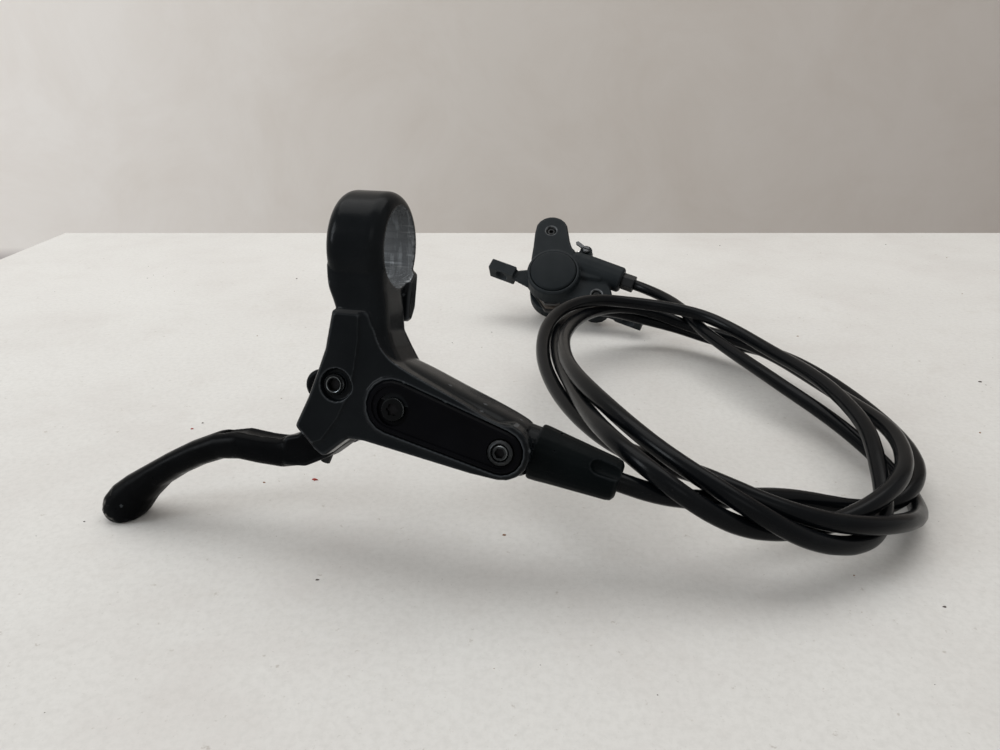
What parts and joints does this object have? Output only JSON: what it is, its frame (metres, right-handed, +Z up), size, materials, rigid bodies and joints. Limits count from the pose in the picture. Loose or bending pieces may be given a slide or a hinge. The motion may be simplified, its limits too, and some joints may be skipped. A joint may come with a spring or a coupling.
{
  "type": "hydraulic disc brake",
  "caption": "Bicycle hydraulic disc brake: flat-bar lever with split clamp, coiled hose and post-mount caliper with opposed pistons.",
  "frame": {"origin": "on the table, under the middle of the lever and caliper's bounding box, the hose left out", "axes": "+Z up from the table, +Y from the lever towards the caliper, +X from the blade's tip towards the hose end of the lever"},
  "size_m": [0.2648, 0.2621, 0.1013],
  "materials": {
    "housing": "gloss black paint over cast aluminium",
    "screws": "black steel",
    "cover": "satin black paint",
    "seal_rubber": "soft rubber",
    "bright_steel": "bright steel",
    "brass": "plain brass",
    "blade": "satin black, worn bright at the tip",
    "aluminium": "turned",
    "boot": "matte rubber",
    "hose": "semi-gloss black hose",
    "caliper": "satin dark grey",
    "cap": "satin dark grey",
    "phenolic": "moulded phenolic",
    "lining": "pressed friction lining"
  },
  "bodies": {
    "body": {"lever_housing": "housing", "clamp_bolt": "screws", "reservoir_cover": "cover", "reservoir_diaphragm": "seal_rubber", "cover_screw_outer": "screws", "cover_screw_inner": "screws", "screw_collar": "bright_steel", "pivot_bolt": "screws", "return_spring": "bright_steel", "piston_retaining_ring": "bright_steel", "lever_hose_nut": "screws", "lever_olive": "brass", "hose_boot": "boot", "hose_from_lever": "hose", "hose_coil": "hose", "hose_to_caliper": "hose", "caliper_outer_half": "caliper", "caliper_inner_half": "caliper", "bore_cap": "cap", "bore_cap_seal": "seal_rubber", "body_bolt_tongue": "bright_steel", "body_bolt_lug": "bright_steel", "crossover_seal": "seal_rubber", "outer_piston_seal": "seal_rubber", "inner_piston_seal": "seal_rubber", "pad_spring": "bright_steel", "pad_pin": "bright_steel", "pin_clip": "bright_steel", "bleed_nipple": "bright_steel", "caliper_hose_nut": "screws", "caliper_olive": "brass"},
    "blade": {"lever_blade": "blade", "pivot_bush": "brass", "reach_screw": "screws"},
    "master": {"pushrod": "bright_steel", "master_piston": "aluminium", "primary_seal": "seal_rubber", "secondary_seal": "seal_rubber"},
    "outer_pad": {"outer_piston": "phenolic", "outer_pad_plate": "bright_steel", "outer_pad_lining": "lining"},
    "inner_pad": {"inner_piston": "phenolic", "inner_pad_plate": "bright_steel", "inner_pad_lining": "lining"}
  },
  "joints": [
    {"name": "blade_pivot", "type": "hinge", "parent": "body", "child": "blade", "pos_m": [-0.01672, -0.09928, 0.04899], "axis": [0.2475, 0.9237, -0.2924], "range_deg": [0, 24], "stiffness_Nm_per_rad": 1, "springref_deg": -22.92},
    {"name": "master_slide", "type": "slide", "parent": "body", "child": "master", "axis": [0.8818, -0.3398, -0.3271], "range_m": [0, 0.0034], "deforming": ["return_spring"]},
    {"name": "outer_pad_slide", "type": "slide", "parent": "body", "child": "outer_pad", "axis": [0.0912, 0.6598, -0.7459], "range_m": [0, 0.0004]},
    {"name": "inner_pad_slide", "type": "slide", "parent": "body", "child": "inner_pad", "axis": [-0.0912, -0.6598, 0.7459], "range_m": [0, 0.0004]}
  ],
  "couplings": [
    {"joint": "master_slide", "follows": "blade_pivot", "m_per_rad": 0.0078},
    {"joint": "outer_pad_slide", "follows": "blade_pivot", "m_per_rad": 0.0008},
    {"joint": "inner_pad_slide", "follows": "blade_pivot", "m_per_rad": 0.0008}
  ]
}
